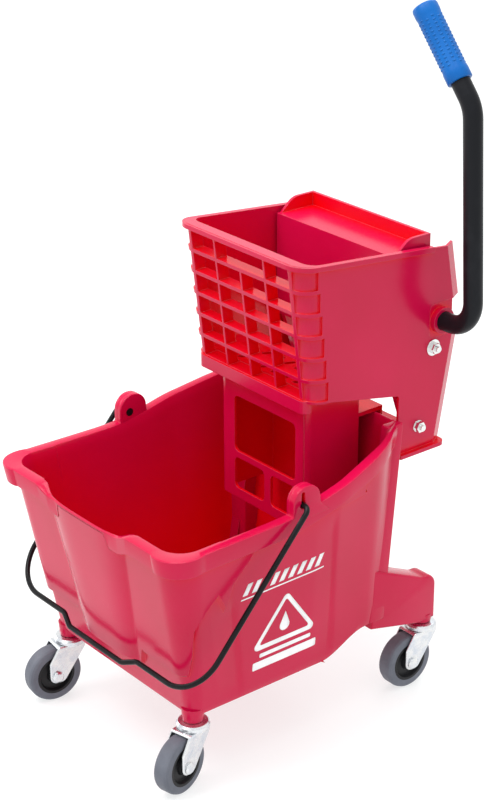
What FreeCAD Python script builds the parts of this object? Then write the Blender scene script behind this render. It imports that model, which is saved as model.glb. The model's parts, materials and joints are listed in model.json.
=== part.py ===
"""Mop bucket on four swivel casters with a lift-off side-press wringer.

Millimetres, +Z up, origin on the floor under the middle of the bucket.
-Y is the pouring end, +Y the wringer end, +X the side with the lever.
"""
import FreeCAD, Part
import Sketcher
import math
import os

App = FreeCAD
Vector = App.Vector
doc = App.newDocument("mop_bucket")
sheet = doc.addObject("Spreadsheet::Sheet", "Sizes")

DRIVING_SIZES = {
    # casters
    "caster_x": 135.0, "caster_y": 194.0, "wheel_radius": 38.1, "tread_width": 22.0,
    "wheel_trail": 28.0, "hub_radius": 27.0, "bush_radius": 7.0, "axle_radius": 4.75,
    "axle_play": 0.05, "fork_gap": 27.0, "fork_sheet": 2.5, "fork_clear": 1.9,
    "stem_radius": 5.0, "stem_grip": 38.0, "race_radius": 21.5, "ball_radius": 2.2,
    "ball_circle": 15.0, "ball_count": 14.0,
    # bucket
    "tub_floor": "=2 * wheel_radius + 23.8", "tub_top": "=rim_rear + 7", "wall": 3.5,
    "rim_front": 348.0, "rim_rear": 393.0, "floor_rise": 26.0,
    "floor_front": 205.0, "floor_half": 149.0, "floor_back": 108.0, "top_front": 259.0,
    "top_half": 186.5, "top_back": 149.5, "top_back_half": 127.0, "flange_reach": 7.0,
    "flange_drop": 25.0, "spout_half": 98.0, "spout_dip": 9.0, "spout_front": 266.0,
    "rim_half": "=floor_half + (top_half - floor_half) * (rim_front - tub_floor)"
                " / (tub_top - tub_floor)",
    "ear_x": "=rim_half + 1", "ear_y": 60.0, "ear_radius": 23.0, "ear_thick": 6.0,
    "keyhole_high": 15.0, "keyhole_half": 2.4, "foot_width": 32.0, "foot_back": 206.0,
    "foot_top": "=tub_floor + 62", "boss_radius": 13.5,
    # bail
    "bail_height": "=rim_front + 5 + 0.2 * (rim_rear - rim_front)", "bail_wire": 3.5,
    "bail_half": "=ear_x + 15.5",
    "bail_drop": 268.0,
    "bail_jog": 11.0, "bail_grip_half": 57.0, "bail_rest": 41.5, "bail_play": 0.6,
    # wringer
    "wringer_half": 121.0, "plate_wall": 4.0, "hopper_top": "=rim_rear + 241",
    "hopper_front": 12.0, "hopper_deep": 186.0, "hopper_slope": 0.122, "rim_proud": 4.0,
    "wringer_back": 268.0, "grid_depth": 16.0, "grid_half": "=wringer_half - 24",
    "grid_rib": 5.0, "skirt_half": "=wringer_half - 35", "skirt_front": 25.0,
    "skirt_back": 118.0, "skirt_bottom": 256.0, "window_left": -54.0, "window_right": 70.0,
    "window_low": "=skirt_bottom + 14", "window_split": "=skirt_bottom + 59",
    "window_high": "=rim_rear + 11", "shaft_y": 223.0, "shaft_z": "=hopper_top - 121",
    "slot_height": 47.0, "hinge_y": 189.0, "hinge_z": "=rim_rear - 20",
    "bearing_bolt_y": 212.0, "bearing_bolt_z": "=shaft_z - 36", "seat_gap": 0.4,
    "strip_width": 18.0, "shelf_level": "=hinge_z - 37", "apron_y": "=wringer_back - 113",
    # press plate
    "press_half": "=wringer_half - 8", "press_face": 146.0, "press_back": 205.0,
    "tray_top": "=hopper_top - 4", "tray_floor": "=hopper_top - 22",
    "press_foot": "=hopper_top - 162", "arm_x": "=wringer_half - 21", "arm_thick": 8.0,
    # lever
    "tube_radius": 12.5, "tube_wall": 2.0, "shaft_play": 0.06,
    "lever_x": "=wringer_half + 60", "lever_height": 287.0, "lever_lean": 17.0,
    "grip_lean": 40.0, "grip_start": 37.0, "grip_length": 105.0, "grip_wall": 4.0,
    "cam_x": "=wringer_half - 47", "cam_thick": 12.0, "cam_play": 0.5, "pin_radius": 3.0,
    "lever_swing": 100.0, "press_ratio": 0.24,
    # fasteners
    "bolt_radius": 4.0, "bolt_play": 0.06, "washer_radius": 11.0,
}
# a size that follows another one is written as a formula of it
for row, (alias, value) in enumerate(DRIVING_SIZES.items(), start=1):
    sheet.set(f"A{row}", alias)
    sheet.setAlias(f"B{row}", alias)
for row, value in enumerate(DRIVING_SIZES.values(), start=1):
    sheet.set(f"B{row}", str(value))
doc.recompute()


def size(expression):
    """The value of an expression on the sheet's cells, written with bare aliases."""
    found = sheet.evalExpression(expression)
    return float(getattr(found, "Value", found))


def on_sheet(expression):
    """The same expression with each alias addressed to the sheet."""
    words = []
    word = ""
    for letter in expression + " ":
        if letter.isalnum() or letter == "_":
            word += letter
            continue
        words.append(f"Sizes.{word}" if word in DRIVING_SIZES else word)
        words.append(letter)
        word = ""
    return "".join(words).strip()


def bind(thing, **properties):
    """Bind properties to expressions; a double underscore stands for a dot."""
    for name, expression in properties.items():
        thing.setExpression(name.replace("__", "."), on_sheet(str(expression)))


SUB_PARTS = {}


def sub_part(thing, label):
    """Name a finished object as one of the sub-parts that are written out."""
    thing.Label = label
    SUB_PARTS[label] = thing
    return thing


def body_plane(body, role):
    for feature in body.Origin.OriginFeatures:
        if feature.Role == role:
            return feature
    raise ValueError(role)


def outline_sketch(body, role, points, name="Outline"):
    """A closed sketch of straight lines whose corners are driven by expressions."""
    sketch = body.newObject("Sketcher::SketchObject", name)
    sketch.AttachmentSupport = [(body_plane(body, role), "")]
    sketch.MapMode = "FlatFace"
    corners = [(size(a), size(b)) for a, b in points]
    count = len(corners)
    for index, (across, up) in enumerate(corners):
        after = corners[(index + 1) % count]
        sketch.addGeometry(Part.LineSegment(Vector(across, up, 0), Vector(*after, 0)), False)

    for index in range(count):
        sketch.addConstraint(Sketcher.Constraint("Coincident", index, 2, (index + 1) % count, 1))
    for index, (across, up) in enumerate(points):
        for kind, axis, value in (("DistanceX", -2, across), ("DistanceY", -1, up)):
            if abs(size(value)) < 1e-9:
                sketch.addConstraint(Sketcher.Constraint("PointOnObject", index, 1, axis))
                continue
            made = sketch.addConstraint(
                Sketcher.Constraint(kind, -1, 1, index, 1, size(value)))
            sketch.setExpression(f"Constraints[{made}]", on_sheet(value))
    return sketch


def fixed_place(thing, across, along, up, turn=App.Rotation()):
    """Turn an object about its own origin and bind where that origin stands."""
    thing.Placement = App.Placement(Vector(size(across), size(along), size(up)), turn)
    bind(thing, Placement__Base__x=across, Placement__Base__y=along, Placement__Base__z=up)
    return thing


def turned(label, profile, across="0", along="0", up="0", turn=App.Rotation()):
    """A body turned about its own Z axis from (radius, height) corners."""
    body = doc.addObject("PartDesign::Body", label)
    sketch = outline_sketch(body, "XZ_Plane", profile)
    solid = body.newObject("PartDesign::Revolution", "Turned")
    solid.Profile = sketch
    solid.ReferenceAxis = (sketch, ["V_Axis"])
    solid.Angle = 360
    fixed_place(body, across, along, up, turn)
    return body


def solid_feature(label, shape, place=None):
    """A feature whose shape is worked out from the sheet by this file's functions."""
    feature = doc.addObject("Part::Feature", label)
    feature.Shape = shape
    if place:
        feature.Placement = place
    return feature


def block(low, high):
    """A box between two corners."""
    spans = [b - a for a, b in zip(low, high)]
    return Part.makeBox(*spans, Vector(*low))


def rounded_wire(points, radii, to_space, closed=True):
    """Straight runs joined by tangent arcs; to_space turns a flat point into a Vector."""
    flat = [Vector(a, b, 0) for a, b in points]
    count = len(flat)
    corners = range(count) if closed else range(1, count - 1)
    trims = {}
    for index in corners:
        before, here, after = flat[index - 1], flat[index], flat[(index + 1) % count]
        to_before, to_after = (before - here).normalize(), (after - here).normalize()
        half = to_before.getAngle(to_after) / 2
        radius = radii[index]
        if radius <= 0 or half > math.radians(89.9):
            trims[index] = (here, None, here)
            continue
        reach = radius / math.tan(half)
        middle = (to_before + to_after).normalize()
        centre = here + middle * (radius / math.sin(half))
        trims[index] = (here + to_before * reach, centre - middle * radius,
                        here + to_after * reach)
    edges = []
    pairs = count if closed else count - 1
    for index in range(pairs):
        following = (index + 1) % count
        start = trims[index][2] if index in trims else flat[index]
        finish = trims[following][0] if following in trims else flat[following]
        if start.distanceToPoint(finish) > 1e-6:
            edges.append(Part.LineSegment(to_space(start), to_space(finish)).toShape())
        if following in trims and trims[following][1]:
            arc = [to_space(point) for point in trims[following]]
            edges.append(Part.Arc(*arc).toShape())
    return Part.Wire(edges)


def at_level(level):
    return lambda point: Vector(point.x, point.y, level)


def at_side(across):
    return lambda point: Vector(across, point.x, point.y)


def at_depth(along):
    return lambda point: Vector(point.x, along, point.y)


def side_prism(points, radii, half):
    """A closed (Y, Z) outline carried across from -half to +half."""
    wire = rounded_wire(points, radii, at_side(-half))
    return Part.Face(wire).extrude(Vector(2 * half, 0, 0))


def slab(points, radii, across, thick):
    """A closed (Y, Z) outline with its middle plane at x = across."""
    wire = rounded_wire(points, radii, at_side(across - thick / 2))
    return Part.Face(wire).extrude(Vector(thick, 0, 0))


def mirrored(shape):
    """A shape together with its mirror image across the middle plane."""
    return [shape, shape.mirror(Vector(0, 0, 0), Vector(1, 0, 0))]


def joined(shapes):
    first, *others = shapes
    return first.fuse(others).removeSplitter()


def rod(radius, start, direction, length):
    return Part.makeCylinder(radius, length, Vector(*start), Vector(*direction))


def tube_along(wire, radius):
    """A round section carried along a wire of tangent runs and arcs."""
    first = wire.Edges[0]
    start = first.valueAt(first.FirstParameter)
    heading = first.tangentAt(first.FirstParameter)
    section = Part.Wire(Part.makeCircle(radius, start, heading))
    return wire.makePipeShell([section], True, False)


# ---------------------------------------------------------------- casters
CASTERS = {
    "front_left": (-1, -1, -7.8),
    "front_right": (1, -1, 12.8),
    "rear_left": (-1, 1, 5.0),
    "rear_right": (1, 1, -0.7),
}
FORK_TOP = "2 * wheel_radius + fork_clear"
RACE_SEAT = f"{FORK_TOP} + fork_sheet"
BALL_LEVEL = f"{RACE_SEAT} + 1.5 + ball_radius"
CAP_TOP = f"{BALL_LEVEL} + ball_radius + 2.8"


def fork_shape():
    """Folded sheet fork about the stem axis, its legs trailing towards -Y."""
    gap, sheet_thick = size("fork_gap"), size("fork_sheet")
    axle_y, axle_z = -size("wheel_trail"), size("wheel_radius")
    top = size(RACE_SEAT)
    end = 10.5
    front, back = 15.0, -24.0
    outline = [(axle_y - end, axle_z - end), (axle_y + end, axle_z - end),
               (front, size(FORK_TOP) - 4), (front, top), (back, top),
               (axle_y - end, top - 22)]
    wide = gap / 2 + sheet_thick
    outer = side_prism(outline, [end - 0.1, end - 0.1, 3, 0, 6, 8], wide)
    corners = [edge for edge in outer.Edges
               if abs(edge.BoundBox.ZMin - top) < 0.01 and edge.BoundBox.XLength < 0.01
               and abs(abs(edge.BoundBox.XMin) - wide) < 0.01]
    outer = outer.makeFillet(2.2, corners)
    room = side_prism([(-90, -20), (60, -20), (60, size(FORK_TOP)), (-90, size(FORK_TOP))],
                      [0, 0, 0, 0], gap / 2)
    fork = outer.cut(room)
    race = Part.makeCone(19.5, 18.5, 1.5, Vector(0, 0, top))
    neck = Part.makeCylinder(19.5, sheet_thick, Vector(0, 0, size(FORK_TOP)))
    fork = joined([fork, race, neck])
    stem_hole = rod(size("stem_radius") + 0.4, (0, 0, 0), (0, 0, 1), top + 10)
    axle_hole = rod(size("axle_radius"), (-wide - 1, axle_y, axle_z), (1, 0, 0), 2 * wide + 2)
    return fork.cut([stem_hole, axle_hole])


def caster(name, side, end, swivel):
    """One plate-free stem caster with its fork turned about the stem."""
    spin = App.Rotation(Vector(0, 0, 1), swivel)
    along_axle = spin * App.Rotation(Vector(0, 1, 0), 90)
    stem_x = f"{side} * caster_x"
    stem_y = f"{end} * caster_y"
    turn = math.radians(swivel)
    axle = (f"{stem_x} + wheel_trail * {math.sin(turn):.9f}",
            f"{stem_y} - wheel_trail * {math.cos(turn):.9f}", "wheel_radius")

    stem = turned(f"caster_stem_{name}", [
        ("0", f"{FORK_TOP} - 3.6"), ("8", f"{FORK_TOP} - 3.6"), ("9", f"{FORK_TOP} - 1.6"),
        ("8", f"{FORK_TOP} - 0.5"), ("stem_radius", f"{FORK_TOP} - 0.5"),
        ("stem_radius", f"{CAP_TOP} + stem_grip - 1"),
        ("stem_radius - 1", f"{CAP_TOP} + stem_grip"),
        ("0", f"{CAP_TOP} + stem_grip")], stem_x, stem_y)
    sub_part(stem, f"caster_stem_{name}")

    cap = turned(f"race_cap_{name}", [
        ("stem_radius", f"{CAP_TOP} - 1.8"), ("ball_circle - 3", f"{CAP_TOP} - 1.8"),
        ("race_radius - 2.2", f"{CAP_TOP} - 3.4"), ("race_radius - 1.6", f"{CAP_TOP} - 8"),
        ("race_radius", f"{CAP_TOP} - 8"), ("race_radius", f"{CAP_TOP} - 4"),
        ("race_radius - 2.5", f"{CAP_TOP} - 1.4"), ("ball_circle - 3", f"{CAP_TOP}"),
        ("stem_radius", f"{CAP_TOP}")], stem_x, stem_y)
    sub_part(cap, f"race_cap_{name}")

    centres = []
    for index in range(int(size("ball_count"))):
        angle = 2 * math.pi * index / size("ball_count")
        centres.append(Vector(math.cos(angle), math.sin(angle), 0) * size("ball_circle"))
    ring = Part.makeCompound([
        Part.makeSphere(size("ball_radius"), centre + Vector(0, 0, size(BALL_LEVEL)))
        for centre in centres])
    place = App.Placement(Vector(size(stem_x), size(stem_y), 0), spin)
    sub_part(solid_feature(f"race_balls_{name}", ring, place), f"race_balls_{name}")
    sub_part(solid_feature(f"caster_fork_{name}", fork_shape(), place), f"caster_fork_{name}")

    outside = "fork_gap / 2 + fork_sheet"
    pin = turned(f"caster_axle_{name}", [
        ("0", f"-({outside}) - 3"), ("5", f"-({outside}) - 3"), ("7", f"-({outside}) - 1.5"),
        ("7", f"-({outside})"), ("axle_radius", f"-({outside})"), ("axle_radius", outside),
        ("8", outside), ("8", f"{outside} + 2"), ("5.5", f"{outside} + 4.2"),
        ("0", f"{outside} + 4.2")], *axle, along_axle)
    sub_part(pin, f"caster_axle_{name}")

    sleeve_end = "fork_gap / 2 - 0.3"
    bush = turned(f"wheel_bush_{name}", [
        ("axle_radius + axle_play", f"-({sleeve_end})"), ("bush_radius", f"-({sleeve_end})"),
        ("bush_radius", sleeve_end), ("axle_radius + axle_play", sleeve_end)],
        *axle, along_axle)
    sub_part(bush, f"wheel_bush_{name}")

    face = "tread_width / 2"
    hub = turned(f"wheel_hub_{name}", [
        ("bush_radius", f"-{face} - 1"), ("11", f"-{face} - 1"), ("12.5", f"-{face} + 4"),
        ("hub_radius - 6", f"-{face} + 5"), ("hub_radius - 3.5", f"-{face}"),
        ("hub_radius", f"-{face}"), ("hub_radius", face), ("hub_radius - 3.5", face),
        ("hub_radius - 6", f"{face} - 5"), ("12.5", f"{face} - 4"), ("11", f"{face} + 1"),
        ("bush_radius", f"{face} + 1")], *axle, along_axle)
    sub_part(hub, f"wheel_hub_{name}")

    tyre = turned(f"wheel_tyre_{name}", [
        ("hub_radius", f"-{face}"), ("wheel_radius - 4", f"-{face}"),
        ("wheel_radius - 1.2", f"-{face} + 1.4"), ("wheel_radius", f"-{face} + 4.5"),
        ("wheel_radius", f"{face} - 4.5"), ("wheel_radius - 1.2", f"{face} - 1.4"),
        ("wheel_radius - 4", face), ("hub_radius", face)], *axle, along_axle)
    sub_part(tyre, f"wheel_tyre_{name}")


for caster_name, (side, end, swivel) in CASTERS.items():
    caster(caster_name, side, end, swivel)


# ---------------------------------------------------------------- bucket
def plan_corners(level):
    """Right-hand corners (x, y) of the wall's outside at a height, front to back."""
    share = (level - size("tub_floor")) / (size("tub_top") - size("tub_floor"))
    low = [(size("floor_half"), -size("floor_front")), (size("floor_half"), 8),
           (size("floor_half"), size("floor_back") - 30),
           (size("floor_half") - 2, size("floor_back"))]
    high = [(size("top_half"), -size("top_front")), (size("top_half") - 8, 10),
            (size("top_half") - 29, size("top_back") - 48),
            (size("top_back_half"), size("top_back"))]
    return [(a + (c - a) * share, b + (d - b) * share) for (a, b), (c, d) in zip(low, high)]


def corner_radii(level):
    share = (level - size("tub_floor")) / (size("tub_top") - size("tub_floor"))
    low, high = [18, 120, 60, 12], [40, 150, 90, 12]
    return [a + (b - a) * share for a, b in zip(low, high)]


def grown(points, distance):
    """A closed outline with every side moved outwards by a distance."""
    count = len(points)
    moved = []
    for index in range(count):
        (ax, ay), (bx, by) = points[index - 1], points[index]
        (cx, cy) = points[(index + 1) % count]
        first = Vector(bx - ax, by - ay, 0).normalize()
        second = Vector(cx - bx, cy - by, 0).normalize()
        out_first = Vector(first.y, -first.x, 0)
        out_second = Vector(second.y, -second.x, 0)
        bisector = out_first + out_second
        reach = distance / (bisector.Length / 2) ** 2 / 2
        moved.append((bx + bisector.x * reach, by + bisector.y * reach))
    return moved


def plan_wire(level, growth):
    right = plan_corners(level)
    left = [(-x, y) for x, y in reversed(right)]
    radii = corner_radii(level)
    radii = radii + radii[::-1]
    points = grown(right + left, growth)
    return rounded_wire(points, [radius + growth for radius in radii], at_level(level))


def hull(growth, low, high):
    """The bucket's tapering outside, grown by a distance, between two heights."""
    return Part.makeLoft([plan_wire(low, growth), plan_wire(high, growth)], True, True)


def rim_line(drop):
    """(Y, Z) corners of the rim: level in front, then sweeping up to the wringer."""
    front, rear = size("rim_front") - drop, size("rim_rear") - drop
    return [(-320, front), (-68, front), (112, rear), (230, rear)]


RIM_BENDS = [0, 200, 60, 0]


def above_rim(drop):
    over = size("tub_top") + 70
    points = rim_line(drop) + [(230, over), (-320, over)]
    return side_prism(points, RIM_BENDS + [0, 0], size("top_half") + 50)


def floor_wedge(lift):
    """What the rising rear of the floor leaves out."""
    low = size("tub_floor") + lift
    back = size("floor_back")
    high = low + size("floor_rise")
    points = [(5, low - 60), (5, low), (back - 35, high), (back + 80, high),
              (back + 80, low - 60)]
    return side_prism(points, [0, 60, 40, 0, 0], size("top_half") + 50)


def spout_bulge(inset):
    """The rounded pouring panel, between the flange and its lower step."""
    low, high = 146 + inset, size("rim_front") + 4
    fall = (size("top_front") - size("floor_front")) / (size("tub_top") - size("tub_floor"))
    rings = []
    for level, half, proud in ((low, size("spout_half") - 30, 15.0), (high, size("spout_half"), 0)):
        wall = size("floor_front") + fall * (level - size("tub_floor"))
        nose = wall + proud if proud else size("spout_front")
        half -= inset
        ends = [Vector(-half, 6 - wall, level), Vector(half, 6 - wall, level)]
        arc = Part.Arc(ends[0], Vector(0, inset - nose, level), ends[1]).toShape()
        rings.append(Part.Wire([arc, Part.LineSegment(ends[1], ends[0]).toShape()]))
    return Part.makeLoft(rings, True, True)


def rear_post():
    """Upright stiffening column at the right rear corner."""
    back, half = size("floor_back"), size("floor_half")
    top_back, top_half = size("top_back"), size("top_back_half")
    rings = []
    for level, (x0, y0), (x1, y1) in (
            (size("tub_floor") + 27, (half - 16, back - 22), (half, back + 4)),
            (size("tub_top") - 2, (top_half - 6, top_back - 24), (top_half + 8, top_back + 2))):
        rings.append(rounded_wire([(x0, y0), (x1, y0), (x1, y1), (x0, y1)],
                                  [0, 3, 3, 0], at_level(level)))
    return Part.makeLoft(rings, True, True)


def foot(inset):
    """Right-hand arm that carries a rear caster behind the bucket."""
    back, low = size("foot_back") - inset, size(CAP_TOP) + 0.4
    root = size("floor_back") - 22
    high = size("foot_top") - inset
    points = [(root, low + 24 - 4 * inset), (back - 32, low - 4 * inset), (back, low - 4 * inset),
              (back, high), (back - 22, high), (root, high + 42)]
    bends = [0, 20, 0, 16 - inset, 20, 0]
    middle = size("floor_half") - size("foot_width") / 2
    arm = slab(points, bends, middle, size("foot_width") - 2 * inset)
    if inset:
        return arm
    ends = [edge for edge in arm.Edges
            if edge.BoundBox.XLength < 0.01 and edge.BoundBox.YMin > root + 1
            and edge.BoundBox.ZMax > low + 1]
    return arm.makeFillet(5, ends)


def ear():
    """Right-hand eye for the bail, a half-round tab above the rim."""
    radius, along, high = size("ear_radius"), size("ear_y") - 9, size("bail_height") + 3
    thick = size("ear_thick")
    foot_level = size("rim_front") - 8
    tab = slab([(-along - radius, foot_level), (-along + radius, foot_level),
                (-along + radius, high + radius),
                (-along - radius, high + radius)],
               [0, 0, radius - 0.1, radius - 0.1], size("ear_x"), thick)
    hole = size("bail_wire") + size("bail_play")
    start = (size("ear_x") - thick, -size("ear_y"), size("bail_height"))
    eye = rod(hole, start, (1, 0, 0), 2 * thick)
    half, tall = size("keyhole_half"), size("keyhole_high")
    slot = block((start[0], start[1] - half, start[2]),
                 (start[0] + 2 * thick, start[1] + half, start[2] + tall))
    tip = rod(half, (start[0], start[1], start[2] + tall), (1, 0, 0), 2 * thick)
    return tab.cut([eye, slot, tip])


def tub_shape():
    wall, floor, top = size("wall"), size("tub_floor"), size("tub_top")
    reach, drop = size("flange_reach"), size("flange_drop")
    inside = hull(-wall, floor + wall, top + 5).cut(floor_wedge(wall))
    skirt_low = size("rim_front") - drop - 10
    band = hull(reach, skirt_low, top).cut([hull(-wall, skirt_low, top)])
    gap = hull(reach - wall, skirt_low, top).cut(above_rim(wall))
    over, spout = top + 100, size("spout_half")
    no_flange = [block((-300, size("top_back") - 18, 0), (300, 300, over)),
                 block((-spout, -350, 0), (spout, -150, over))]
    below = block((-300, -350, -60), (300, 300, over)).cut(above_rim(drop))
    band = band.cut([gap, below] + no_flange)
    shell = hull(0, floor, top).cut(floor_wedge(0))
    outside = [shell, band, spout_bulge(0), *mirrored(rear_post())]
    tub = joined(outside).cut([inside, spout_bulge(wall)])
    stem_top = size(CAP_TOP) + size("stem_grip")
    for end in (-1, 1):
        for side in (-1, 1):
            centre = (side * size("caster_x"), end * size("caster_y"), size(CAP_TOP) + 0.4)
            boss = rod(size("boss_radius"), centre, (0, 0, 1), stem_top + 5 - centre[2])
            tub = tub.fuse(boss)
    arms = [piece for arm in mirrored(foot(0).cut(foot(wall))) for piece in arm.Solids]
    arms = [arm.cut(hull(-1, floor, top)) for arm in arms]
    tub = joined([tub] + arms)
    dip = size("spout_dip")
    lip = size("rim_front") - dip
    outline = [(-spout + 26, lip), (spout - 26, lip), (spout, lip + dip), (spout, lip + 60),
               (-spout, lip + 60), (-spout, lip + dip)]
    notch_y = -size("top_front") - 31
    notch = Part.Face(rounded_wire(outline, [30, 30, 8, 0, 0, 8], at_depth(notch_y)))
    notch = notch.extrude(Vector(0, 60, 0))
    tub = tub.cut([above_rim(0), notch])
    tub = joined([tub, *mirrored(ear())])
    holes = [rod(size("stem_radius"), (side * size("caster_x"), end * size("caster_y"), 80),
                 (0, 0, 1), stem_top - 80) for side in (-1, 1) for end in (-1, 1)]
    return tub.cut(holes)


sub_part(solid_feature("tub", tub_shape()), "tub")


# ---------------------------------------------------------------- bail
def bail_wire():
    """Bent wire: in through the ear, down the side, across the front with a hand-hold."""
    half, drop, jog = size("bail_half"), size("bail_drop"), size("bail_jog")
    grip, inner = size("bail_grip_half"), size("ear_x") - size("ear_thick") / 2 - 4
    right = [(inner, 0), (half, 0), (half, drop), (grip + 22, drop), (grip, drop + jog)]
    bends = [0, 8, 55, 14, 14]
    points = right + [(-a, b) for a, b in reversed(right)]
    tilt = math.radians(size("bail_rest"))

    def hang(point):
        return Vector(point.x, -size("ear_y") - point.y * math.sin(tilt),
                      size("bail_height") - point.y * math.cos(tilt))
    path = rounded_wire(points, bends + bends[::-1], hang, closed=False)
    bail = tube_along(path, size("bail_wire"))
    head = rod(size("bail_wire") + 2, (inner - 3, -size("ear_y"), size("bail_height")),
               (1, 0, 0), 3)
    return joined([bail, *mirrored(head)])


sub_part(solid_feature("bail", bail_wire()), "bail")


# ---------------------------------------------------------------- wringer body
def hopper_front(level):
    """Y of the sloping front of the hopper at a height."""
    return -size("hopper_front") + (size("hopper_top") - level) * size("hopper_slope")


def rear_edge():
    """(Y, Z) corners of the side plates' rear edge, from the top down to the shelf."""
    back, top = size("wringer_back"), size("hopper_top")
    return [(back - 18, top - 24), (back, size("shaft_z")), (back - 33, size("shelf_level"))]


def hopper_side():
    """(Y, Z) outline of the flat of a side plate, short of its bent rear strip."""
    top, shelf, lip = size("hopper_top"), size("shelf_level"), size("hopper_top - hopper_deep")
    strip, apron = size("strip_width"), size("apron_y")
    rear = [(along - strip, up) for along, up in rear_edge()]
    return [(hopper_front(top), top + 1), *rear, (apron, shelf), (apron, lip - 24),
            (size("skirt_front") + 13, lip), (hopper_front(lip), lip)]


def rear_strips():
    """The side plates' rear edges, bent inwards."""
    half, wall, strip = size("wringer_half"), size("plate_wall"), size("strip_width")
    fold = strip * 0.55
    rings = []
    for along, up in rear_edge():
        section = [Vector(half, along - strip, up), Vector(half - wall, along - strip, up),
                   Vector(half - wall - fold, along, up), Vector(half - fold, along, up)]
        rings.append(Part.makePolygon(section + section[:1]))
    upper, lower = (Part.makeLoft(list(pair), True, True) for pair in zip(rings, rings[1:]))
    return mirrored(upper) + mirrored(lower)


def shaft_slot(half_width):
    """Rear-open channels in the side plates that take the shaft bearings."""
    reach, high = size("shaft_y") - 18, size("slot_height") / 2
    points = [(reach, size("shaft_z") - high), (size("wringer_back") + 20, size("shaft_z") - high),
              (size("wringer_back") + 20, size("shaft_z") + high),
              (reach, size("shaft_z") + high)]
    return side_prism(points, [8, 0, 0, 8], half_width)


def wringer_shape():
    half, wall, top = size("wringer_half"), size("plate_wall"), size("hopper_top")
    outer = side_prism(hopper_side(), [0, 0, 0, 0, 0, 4, 30, 0], half)
    corners = [edge for edge in outer.Edges
               if edge.BoundBox.XLength < 0.01 and edge.BoundBox.ZLength > 150
               and edge.BoundBox.YMax < 40]
    outer = outer.makeFillet(24, corners)

    front_in = hopper_front(top) + size("grid_depth")
    floor_low = top - size("hopper_deep")
    room = [(front_in, top + 20), (size("wringer_back") + 30, top + 20),
            (size("wringer_back") + 30, floor_low - 150), (size("skirt_back") - 3, floor_low - 150),
            (size("skirt_back") - 3, floor_low - 9), (front_in + 22, floor_low + 5)]
    inside = side_prism(room, [0, 0, 0, 0, 0, 6], half - wall)
    edges = [edge for edge in inside.Edges
             if edge.BoundBox.XLength < 0.01 and edge.BoundBox.ZLength > 100
             and edge.BoundBox.YMax < 40]
    inside = inside.makeFillet(16, edges)
    body = outer.cut(inside)

    # top rim and bottom lip standing proud of the hopper
    proud, rim_back = size("rim_proud"), size("press_back") + 1
    wide = side_prism([(hopper_front(top) - proud, top + 1), (rim_back, top - 19),
                       (rim_back, top - 26), (hopper_front(top) - proud, top - 5)],
                      [0, 0, 0, 0], half + proud)
    rim_edges = [edge for edge in wide.Edges
                 if edge.BoundBox.XLength < 0.01 and edge.BoundBox.YMax < 0
                 and edge.BoundBox.ZLength > 4]
    rim = wide.makeFillet(28, rim_edges).cut(inside)
    lip = block((-half + 14, hopper_front(floor_low) - proud, floor_low - 14),
                (half - 14, hopper_front(floor_low) + 8, floor_low + 3))
    lip_edges = [edge for edge in lip.Edges
                 if edge.BoundBox.ZLength > 10 and edge.BoundBox.YMax < hopper_front(floor_low)]
    lip = lip.makeFillet(10, lip_edges)

    # skirt that reaches down inside the bucket
    skirt_half, front, back = size("skirt_half"), size("skirt_front"), size("skirt_back")
    low = size("skirt_bottom")
    skirt = side_prism([(front, low), (back, low), (back, floor_low - 12), (front, floor_low + 3)],
                       [0, 0, 0, 0], skirt_half)
    upright = [edge for edge in skirt.Edges
               if edge.BoundBox.ZLength > 100 and edge.BoundBox.YMax < front + 1]
    skirt = skirt.makeFillet(14, upright)
    core = block((-skirt_half + wall, front + wall, low - 5),
                 (skirt_half - wall, back - wall, floor_low + 4))
    skirt = skirt.cut(core)
    left, right, split = size("window_left"), size("window_right"), size("window_split")
    base = size("window_low")
    windows = [block((left, front - 5, split + 9), (right, front + 10, size("window_high"))),
               block((left, front - 5, base), (left + 62, front + 10, split)),
               block((right - 50, front - 5, base), (right, front + 10, split))]
    skirt = skirt.cut([window.makeFillet(8, [edge for edge in window.Edges
                                             if edge.BoundBox.YLength > 10])
                       for window in windows])

    # saddle that sits on the bucket's rear rim, and the shelf behind the bucket
    apron_y, shelf_level = size("apron_y"), size("shelf_level")
    apron_back, saddle_top = apron_y + wall, size("rim_rear") + 6
    saddle = block((-skirt_half, back - wall, size("rim_rear") + size("seat_gap")),
                   (skirt_half, apron_back, saddle_top))
    apron = block((-skirt_half, apron_y, shelf_level), (skirt_half, apron_back, saddle_top))
    low_apron = block((-half + wall, apron_y, shelf_level),
                      (half - wall, apron_back, shelf_level + 29))
    shelf = block((-half - 7, apron_y, shelf_level),
                  (half + 7, size("wringer_back") - 32, shelf_level + 5))
    shelf = shelf.makeFillet(12, [edge for edge in shelf.Edges
                                  if edge.BoundBox.ZLength > 4
                                  and edge.BoundBox.YMin > apron_back])
    body = joined([body, *rear_strips(), rim, lip, skirt, saddle, apron, low_apron, shelf])

    # front grid: rows of deep windows between the ribs, and bands round the corners
    rows, rib, depth = 6, size("grid_rib"), size("grid_depth")
    pitch = (top - 6 - floor_low) / rows
    cell, post = size("grid_half") / 2, 1.5
    cuts = []
    for row in range(rows):
        low_edge = floor_low + row * pitch + rib / 2 + 1
        high_edge = low_edge + pitch - rib
        posts = [-2, -1, 1, 2] if row == rows - 1 else [-2, -1, 0, 1, 2]
        behind = hopper_front(low_edge) + depth + 4
        for start, end in zip(posts, posts[1:]):
            cuts.append(block((start * cell + post, -60, low_edge),
                              (end * cell - post, behind, high_edge)))
        ring = hopper_front((low_edge + high_edge) / 2)
        groove = block((half - 20, -60, low_edge), (half + 10, ring + 26, high_edge))
        keep = rod(21, (half - 24, ring + 24, low_edge - 5), (0, 0, 1), 2 * pitch)
        cuts += mirrored(groove.cut(keep))
    body = body.cut(cuts)

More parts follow.
